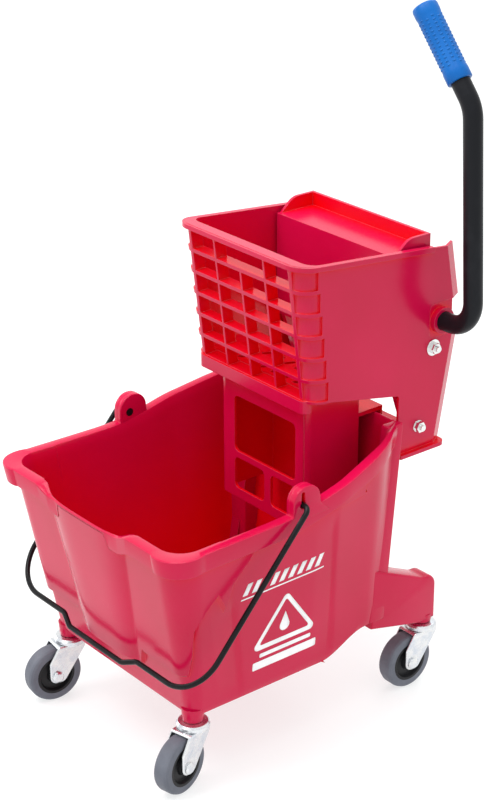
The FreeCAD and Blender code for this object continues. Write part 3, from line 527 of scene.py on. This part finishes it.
# %% Rim line and flange
RIM_FRONT, RIM_REAR = 348 * MM, 393 * MM
SWEEP_START, SWEEP_SLOPE, SWEEP_SOFT = -66 * MM, 0.25, 16 * MM
LIP_DIP, LIP_EDGE = 9 * MM, 98 * MM
FLANGE_DROP, BEAD_DROP, REAR_DROP, SKIN = 25 * MM, 4.0 * MM, 3.4 * MM, 3.2 * MM
FRONT_OUT, CORNER_EXTRA, SIDE_OUT = 12.0 * MM, 4.5 * MM, 10.5 * MM
REAR_START, REAR_OUT, FADED_OUT = 130 * MM, 0.6 * MM, 4.0 * MM
FADE_START, FADE_LONG = 60 * MM, 60 * MM
RIM_IN_FRONT, RIM_IN_SIDE, RIM_STEP = 5.2 * MM, 4.2 * MM, -178 * MM
FLOOR_RISE, RISE_START, RISE_LONG = 26 * MM, 4 * MM, 72 * MM


def rim_level(spot):
    """Height of the rim over a plan point."""
    rise = SWEEP_SLOPE * SWEEP_SOFT * math.log(1 + math.exp((spot.y - SWEEP_START) / SWEEP_SOFT))
    level = RIM_FRONT + min(rise, RIM_REAR - RIM_FRONT)
    if spot.y < -200 * MM:
        level -= LIP_DIP * (1 - smooth_step((spot.x - 0.70 * LIP_EDGE) / (0.30 * LIP_EDGE)))
    return level


def floor_level(spot):
    """Height of the floor, which rises towards the rear."""
    return FLOOR_LEVEL + FLOOR_RISE * smooth_step((spot.y - RISE_START) / RISE_LONG)


def flange_at(spot, normal):
    """How far the flange reaches out of the plain plan, and how far the rim reaches in."""
    if spot.y > REAR_START:
        return REAR_OUT, WALL
    if normal.y < -0.99:
        lip = lip_fold(spot.x, rim_level(spot))
        inner = RIM_IN_FRONT if spot.x > LIP_EDGE else WALL - lip
        return max(FRONT_OUT, lip + 0.3 * MM), inner
    side = smooth_step(normal.x * 1.4 - 0.4)
    corner = 4 * max(0.0, normal.x) * max(0.0, -normal.y)
    out = FRONT_OUT + (SIDE_OUT - FRONT_OUT) * side + CORNER_EXTRA * corner
    if spot.y > FADE_START:
        out += (FADED_OUT - out) * smooth_step((spot.y - FADE_START) / FADE_LONG)
    return out, RIM_IN_FRONT if spot.y < RIM_STEP else RIM_IN_SIDE


# %% [markdown]
# ## One closed wall
# A grid has a column for each plan point and a row for each step of the wall's section: up the
# outside, round the flange, over the top and down the inside. Moving its points to their
# places gives the wall in one sheet, and the mirror and the two floors close it.

# %% Section of the wall
ROWS_UNDER, ROWS_OVER, INNER_ROWS, HALVINGS = 26, 56, 16, 14


def section(spots_at, column):
    """(offset, level, above the stepped line, folded outside) over one plan point."""
    rim_spot, rim_normal = spots_at(RIM_FRONT)[column]
    top, bottom = rim_level(rim_spot), floor_level(spots_at(FLOOR_LEVEL)[column][0])
    out, inner = flange_at(rim_spot, rim_normal)
    lip = lip_fold(rim_spot.x, top) if rim_normal.y < -0.99 else 0.0
    drop = FLANGE_DROP if rim_spot.y < REAR_START else REAR_DROP
    drop += (BEAD_DROP - drop) * smooth_step((lip - FRONT_OUT) / (0.8 * MM))
    low, high = bottom + 3 * MM, top - SKIN
    line_low, line_high = low, high
    for halving in range(HALVINGS):
        line = (line_low + line_high) / 2
        spot = spots_at(line)[column][0]
        target, slope = step_line(spot.x, spot.y, line)
        if target > line:
            line_low = line
        else:
            line_high = line
    reach = STEP_WIDE / 2 * math.hypot(1.0, min(abs(slope), 2.5))
    line = max(low + reach + MM, min(high - reach - MM, line))
    rows = [(-3.0 * MM, bottom, 0.0, False), (-0.9 * MM, bottom + 0.9 * MM, 0.0, False)]
    for row in range(ROWS_UNDER):
        rows.append((0.0, low + (line - reach - low) * row / (ROWS_UNDER - 1), 0.0, True))
    for row in range(ROWS_OVER):
        rows.append((0.0, line + reach + (high - line - reach) * row / (ROWS_OVER - 1), 1.0, True))
    under = max(out - SKIN, lip + 0.1 * MM)
    rows += [(under, high, 1.0, False), (under, top - drop + 0.5 * MM, 1.0, False),
             (under + 0.3 * MM, top - drop, 1.0, False), (out - 0.8 * MM, top - drop, 1.0, False),
             (out, top - drop + 0.8 * MM, 1.0, False), (out, top - 2.4 * MM, 1.0, False),
             (out - 0.7 * MM, top - 0.7 * MM, 1.0, False), (out - 2.4 * MM, top, 1.0, False),
             (1.4 * MM - inner, top, 1.0, False), (0.4 * MM - inner, top - 0.4 * MM, 1.0, False),
             (-inner, top - 1.4 * MM, 1.0, False)]
    inner_low = bottom + WALL + 4 * MM
    for row in range(1, INNER_ROWS + 1):
        share = row / INNER_ROWS
        level = top - 1.4 * MM + (inner_low - top + 1.4 * MM) * share
        settled = WALL - lip_inside(rim_normal, rim_spot, level)
        inward = inner + (settled - inner) * min(1.0, share * 4)
        rows.append((-inward, level, 1.0, False))
    rows += [(-WALL - 1.2 * MM, bottom + WALL + 1.2 * MM, 0.0, False),
             (-WALL - 4.0 * MM, bottom + WALL, 0.0, False)]
    return rows


def lip_inside(normal, spot, level):
    """The pouring panel as the inside of the wall follows it."""
    if normal.y > -0.99:
        return 0.0
    return lip_fold(spot.x, level) * smooth_step((level - LIP_LOW) / (6 * MM))


plan_cache = {}


def cached_plan(level):
    """The plan at a level, rounded to a twentieth of a millimetre and kept."""
    key = round(level / (0.05 * MM))
    if key not in plan_cache:
        plan_cache[key] = plan(key * 0.05 * MM)
    return plan_cache[key]


# %% Build the wall
sections = [section(cached_plan, column) for column in range(COLUMNS)]
ROWS = len(sections[0])
wall = bmesh.new()
bmesh.ops.create_grid(wall, x_segments=COLUMNS - 1, y_segments=ROWS - 1, size=0.5)
for vertex in wall.verts:
    column = round((vertex.co.x + 0.5) * (COLUMNS - 1))
    row = round((vertex.co.y + 0.5) * (ROWS - 1))
    offset, level, above, folded = sections[column][row]
    spot, normal = cached_plan(level)[column]
    if folded:
        offset += folds(spot, normal, level, above)
    place = spot + normal * offset
    if column in (0, COLUMNS - 1):
        place.x = 0.0
    vertex.co = (place.x, place.y, level)
print("wall grid:", COLUMNS, "x", ROWS)

# %% Close the floors and mirror the half
for low_row in (0, ROWS - 1):
    border = [edge for edge in wall.edges if edge.is_boundary
              and all(abs(v.co.z - floor_level(Vector((v.co.x, v.co.y)))
                          - (0 if low_row == 0 else WALL)) < 1.2 * MM for v in edge.verts)
              and not all(abs(v.co.x) < 1e-7 for v in edge.verts)]
    swept = bmesh.ops.extrude_edge_only(wall, edges=border)["geom"]
    for vertex in (v for v in swept if isinstance(v, bmesh.types.BMVert)):
        vertex.co.x = 0.0
bmesh.ops.remove_doubles(wall, verts=wall.verts, dist=0.02 * MM)
bmesh.ops.dissolve_degenerate(wall, dist=0.01 * MM, edges=wall.edges)
bmesh.ops.mirror(wall, geom=wall.verts[:] + wall.edges[:] + wall.faces[:],
                 matrix=Matrix.Identity(4), merge_dist=0.02 * MM, axis="X")
open_edges = sum(1 for edge in wall.edges if edge.is_boundary)
tub_wall = piece("bucket_wall", wall, RED, "bucket", crease=24.0)
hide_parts("tub")
print("open edges:", open_edges)

# %% [markdown]
# ## Posts, rear arms, bosses and ears
# A moulding stiffens its rear corners with upright posts and carries the rear casters on two
# arms. Round bosses hold the caster stems, and two ears with keyhole slots hold the bail. Each
# ear is a slotted plate on a thinner plain backing, which closes the slot from inside.


# %% Solid from a flat outline
TO_SIDE = Matrix(((0, 0, 1, 0), (1, 0, 0, 0), (0, 1, 0, 0), (0, 0, 0, 1)))


def flat_plate(outlines, thick, rounding, place):
    """A mesh of closed outlines given a thickness and rounded edges; inner outlines are holes."""
    data = bpy.data.curves.new("outline", "CURVE")
    data.dimensions = "2D"
    data.fill_mode = "BOTH"
    data.extrude = thick / 2 - rounding
    data.bevel_depth = rounding
    data.bevel_resolution = 2
    data.offset = -rounding
    for outline in outlines:
        spline = data.splines.new("POLY")
        spline.points.add(len(outline) - 1)
        spline.use_cyclic_u = True
        for point, (across, up) in zip(spline.points, outline):
            point.co = (across, up, 0.0, 1.0)
    curve = bpy.data.objects.new("outline", data)
    mesh = bpy.data.meshes.new_from_object(curve)
    mesh.transform(place)
    shape = bmesh.new()
    shape.from_mesh(mesh)
    bpy.data.objects.remove(curve)
    return shape


def joined(shape, other):
    """Add a second bmesh to the first and free it."""
    spare = bpy.data.meshes.new("spare")
    other.to_mesh(spare)
    other.free()
    shape.from_mesh(spare)
    bpy.data.meshes.remove(spare)


def rounded_outline(points, radii, steps=8):
    """A closed outline with each corner rounded; a radius of 0 keeps it sharp."""
    count = len(points)
    outline = []
    for index in range(count):
        three = [points[index - 1], points[index], points[(index + 1) % count]]
        if radii[index] <= 0:
            outline.append(Vector(points[index]))
            continue
        path = rounded_path(three, [radii[index]], [[1.0], [0.0]], [steps])
        outline += [spot for spot, normal in path]
    return outline


# %% Ears for the bail
bail_joint = next(joint for joint in frame["joints"] if joint["name"] == "bail_swing")
PIVOT_Y, PIVOT_Z = bail_joint["pos_m"][1], bail_joint["pos_m"][2]
EAR_MIDDLE, EAR_RADIUS = PIVOT_Y + 6 * MM, 21 * MM
EAR_THICK, EAR_BACKING, EAR_OUTSIDE = 10 * MM, 6 * MM, 186 * MM
KEYHOLE, SLOT_HALF, SLOT_HIGH = 4.1 * MM, 2.4 * MM, 15 * MM


def keyhole():
    """The bail's eye with the slot above it, as one outline."""
    start = math.acos(SLOT_HALF / KEYHOLE)
    turn = 2 * math.pi - (math.pi - 2 * start)
    lower = [(PIVOT_Y + KEYHOLE * math.cos(start - turn * k / 20),
              PIVOT_Z + KEYHOLE * math.sin(start - turn * k / 20)) for k in range(21)]
    upper = [(PIVOT_Y - SLOT_HALF * math.cos(math.pi * k / 8),
              PIVOT_Z + SLOT_HIGH + SLOT_HALF * math.sin(math.pi * k / 8)) for k in range(9)]
    return lower + upper


for side_name, side in (("left", -1), ("right", 1)):
    ear_top = PIVOT_Z + 3 * MM + EAR_RADIUS
    ear = rounded_outline([(EAR_MIDDLE - EAR_RADIUS - 7 * MM, 341 * MM),
                           (EAR_MIDDLE + EAR_RADIUS + 16 * MM, 344 * MM),
                           (EAR_MIDDLE + EAR_RADIUS + 1 * MM, 357 * MM),
                           (EAR_MIDDLE + EAR_RADIUS, ear_top), (EAR_MIDDLE - EAR_RADIUS, ear_top),
                           (EAR_MIDDLE - EAR_RADIUS, 351 * MM)],
                          [0, 0, 12 * MM, EAR_RADIUS * 0.98, EAR_RADIUS * 0.98, 2 * MM], steps=14)
    middle = side * (EAR_OUTSIDE - EAR_THICK / 2)
    shape = flat_plate([ear, keyhole()], EAR_THICK, 1.4 * MM,
                       Matrix.Translation((middle, 0, 0)) @ TO_SIDE)
    backing_middle = side * (EAR_OUTSIDE - EAR_THICK + 1.5 * MM - EAR_BACKING / 2)
    backing = flat_plate([ear], EAR_BACKING, 1.4 * MM,
                         Matrix.Translation((backing_middle, 0, 0)) @ TO_SIDE)
    joined(shape, backing)
    piece(f"bail_ear_{side_name}", shape, RED, "bucket")

# %% Rear posts
POST_RINGS = [(127 * MM, (132, 86), (150, 112)), (392.5 * MM, (120, 125), (135.5, 151.5))]
for side_name, side in (("left", -1), ("right", 1)):
    post = bmesh.new()
    bmesh.ops.create_cube(post, size=2.0)
    for vertex in post.verts:
        level, low, high = POST_RINGS[0] if vertex.co.z < 0 else POST_RINGS[1]
        across = low[0] if vertex.co.x < 0 else high[0]
        along = low[1] if vertex.co.y < 0 else high[1]
        vertex.co = (side * across * MM, along * MM, level)
    bmesh.ops.bevel(post, geom=post.edges[:], offset=2.2 * MM, segments=3, profile=0.5,
                    affect="EDGES", material=-1)
    piece(f"rear_post_{side_name}", post, RED, "bucket")

# %% Rear arms
stem_low, stem_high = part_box("caster_stem_rear_right")
STEM_X, STEM_Y = (stem_low.x + stem_high.x) / 2, (stem_low.y + stem_high.y) / 2
cap_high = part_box("race_cap_rear_right")[1]
ARM_LOW, ARM_BACK, ARM_ROOT = cap_high.z + 0.4 * MM, 206 * MM, 92 * MM
ARM_TOP, ARM_WIDE, ARM_OUTSIDE = 162 * MM, 32 * MM, 149 * MM
for side_name, side in (("left", -1), ("right", 1)):
    arm = rounded_outline([(ARM_ROOT, ARM_LOW + 26 * MM), (ARM_BACK - 30 * MM, ARM_LOW + 5 * MM),
                           (ARM_BACK, ARM_LOW + 5 * MM), (ARM_BACK, ARM_TOP),
                           (ARM_BACK - 22 * MM, ARM_TOP), (ARM_ROOT, ARM_TOP + 42 * MM)],
                          [0, 20 * MM, 3 * MM, 16 * MM, 20 * MM, 0])
    middle = side * (ARM_OUTSIDE - ARM_WIDE / 2)
    shape = flat_plate([arm], ARM_WIDE, 3.5 * MM, Matrix.Translation((middle, 0, 0)) @ TO_SIDE)
    piece(f"rear_arm_{side_name}", shape, RED, "bucket")

# %% Bosses for the caster stems
BOSS_RADIUS = 13.5 * MM
for end_name, along, top in (("front", -STEM_Y, 108 * MM), ("rear", STEM_Y, ARM_LOW + 12 * MM)):
    for side_name, side in (("left", -1), ("right", 1)):
        boss = bmesh.new()
        tall = top - ARM_LOW
        bmesh.ops.create_cone(boss, cap_ends=True, segments=40, radius1=BOSS_RADIUS,
                              radius2=BOSS_RADIUS + 1.5 * MM, depth=tall,
                              matrix=Matrix.Translation((side * STEM_X, along,
                                                         ARM_LOW + tall / 2)))
        lower = [edge for edge in boss.edges
                 if all(v.co.z < ARM_LOW + 0.1 * MM for v in edge.verts)]
        bmesh.ops.bevel(boss, geom=lower, offset=1.2 * MM, segments=3, profile=0.5,
                        affect="EDGES", material=-1)
        piece(f"stem_boss_{end_name}_{side_name}", boss, RED, "bucket")

# %% [markdown]
# ## The grip
# The vinyl sleeve has smooth ends and a field of small raised studs between them. The studs are
# squashed balls of few faces, set in rows that run along the sleeve, because a bump in the
# finish alone would leave the sleeve's outline smooth.

# %% Build the grip
grip_low, grip_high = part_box("lever_grip")
LEAN = math.radians(40)
GRIP_LONG = 105 * MM
grip_middle = (grip_low + grip_high) / 2
along_grip = Vector((-math.sin(LEAN), 0, math.cos(LEAN)))
grip_end = grip_middle - along_grip * GRIP_LONG / 2
TO_GRIP = Matrix.Translation(grip_end) @ Matrix.Rotation(-LEAN, 4, "Y")
sleeve = bmesh.new()
PROFILE = [(12.6, 0), (15.6, 0), (16.3, 0.7), (16.3, 14), (15.7, 17), (15.7, 88), (16.2, 91),
           (16.5, 94), (16.5, 101.5), (15.6, 104), (13.6, 105), (0, 105)]
corners = [sleeve.verts.new((radius * MM, 0, up * MM)) for radius, up in PROFILE]
edges = [sleeve.edges.new(pair) for pair in zip(corners, corners[1:])]
bmesh.ops.spin(sleeve, geom=corners + edges, cent=(0, 0, 0), axis=(0, 0, 1),
               angle=2 * math.pi, steps=56, use_merge=True)
inner = [edge for edge in sleeve.edges if edge.is_boundary]
bmesh.ops.holes_fill(sleeve, edges=inner)
STUD_ROWS, STUDS_LONG = 12, 13
STUD_START, STUD_PITCH, STUD_REACH, STUD_RADIUS = 20.5, 5.2, 15.5 * MM, 1.25 * MM
for row in range(STUD_ROWS):
    turn = 2 * math.pi * row / STUD_ROWS
    for index in range(STUDS_LONG):
        up = (STUD_START + STUD_PITCH * (index + 0.5 * (row % 2))) * MM
        stud = (Matrix.Rotation(turn, 4, "Z") @ Matrix.Translation((STUD_REACH, 0, up))
                @ Matrix.Diagonal((1.0, 2.0, 1.0, 1.0)))
        bmesh.ops.create_icosphere(sleeve, subdivisions=1, radius=STUD_RADIUS, matrix=stud)
bmesh.ops.transform(sleeve, matrix=TO_GRIP, verts=sleeve.verts)
grip = piece("grip_sleeve", sleeve, VINYL, "lever", crease=50.0)
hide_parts("lever_grip")

# %% [markdown]
# ## A plain printed mark
# The side wears a white print. This one is a row of slanted stripes over a triangle with a drop
# in it and two bars, and says nothing. It is thin plates laid on the wall, cut into short strips
# so that they follow its slope.

# %% Print the side
PRINT_THICK, PRINT_ROUND, PRINT_LIFT = 0.16 * MM, 0.02 * MM, 0.12 * MM
CUTS = range(-160, 20, 8)


def wall_side(along, level):
    """X of the right side wall's outside at a point, with its folds."""
    pairs = cached_plan(level)
    near = min(pairs, key=lambda pair: abs(pair[0].y - along) + (0 if pair[1].x > 0.8 else 1))
    above = 1.0 if level > step_line(near[0].x, near[0].y, level)[0] else 0.0
    return near[0].x + folds(near[0], near[1], level, above)


def printed(name, outlines):
    """Flat outlines in the side's plane, pressed onto the wall as a thin print."""
    shape = flat_plate(outlines, PRINT_THICK, PRINT_ROUND, TO_SIDE)
    bmesh.ops.triangulate(shape, faces=shape.faces)
    for cut in CUTS:
        everything = shape.verts[:] + shape.edges[:] + shape.faces[:]
        bmesh.ops.bisect_plane(shape, geom=everything, plane_co=(0, cut * MM, 0),
                               plane_no=(0, 1, 0))
    for vertex in shape.verts:
        vertex.co.x += wall_side(vertex.co.y, vertex.co.z) + PRINT_LIFT
    return piece(name, shape, INK, "bucket")


def bar(low_y, high_y, low_z, high_z):
    """A bar with rounded ends, from its limits in millimetres."""
    ends = min((high_z - low_z) * 0.45, 2.0)
    return rounded_outline([(low_y * MM, low_z * MM), (high_y * MM, low_z * MM),
                            (high_y * MM, high_z * MM), (low_y * MM, high_z * MM)],
                           [ends * MM] * 4, steps=4)


APEX, BASE_LEFT, BASE_RIGHT = (-66, 237), (-119, 163), (-11, 163)
outer = rounded_outline([(y * MM, z * MM) for y, z in (BASE_LEFT, BASE_RIGHT, APEX)],
                        [6 * MM] * 3)
inner = rounded_outline([(y * MM, z * MM) for y, z in ((-106.5, 170), (-23.5, 170), (-66, 227))],
                        [2.5 * MM] * 3)
printed("print_triangle", [outer, inner])
DROP_MIDDLE, DROP_LOW, DROP_RADIUS, DROP_TALL = -66, 187, 8, 29
drop = [(DROP_MIDDLE * MM, (DROP_LOW - DROP_RADIUS + DROP_TALL) * MM)]
drop += [((DROP_MIDDLE + DROP_RADIUS * math.cos(math.radians(angle))) * MM,
          (DROP_LOW + DROP_RADIUS * math.sin(math.radians(angle))) * MM)
         for angle in range(155, 386, 11)]
printed("print_drop", [drop])
for name, edges_mm in (("print_rule_high", (-142, -6, 250, 252)),
                       ("print_rule_low", (-104, -20, 151, 157)),
                       ("print_bar_low", (-114, -10, 134, 146))):
    printed(name, [bar(*edges_mm)])
STRIPES, STRIPE_WIDE, STRIPE_PITCH, STRIPE_LEAN = 9, 8.0, 14.6, 8.0
STRIPE_START, STRIPE_LOW, STRIPE_HIGH = -140, 256, 272
for index in range(STRIPES):
    start = STRIPE_START + STRIPE_PITCH * index
    corners = [(start, STRIPE_LOW), (start + STRIPE_WIDE, STRIPE_LOW),
               (start + STRIPE_WIDE + STRIPE_LEAN, STRIPE_HIGH),
               (start + STRIPE_LEAN, STRIPE_HIGH)]
    printed(f"print_stripe_{index + 1}", [[(y * MM, z * MM) for y, z in corners]])
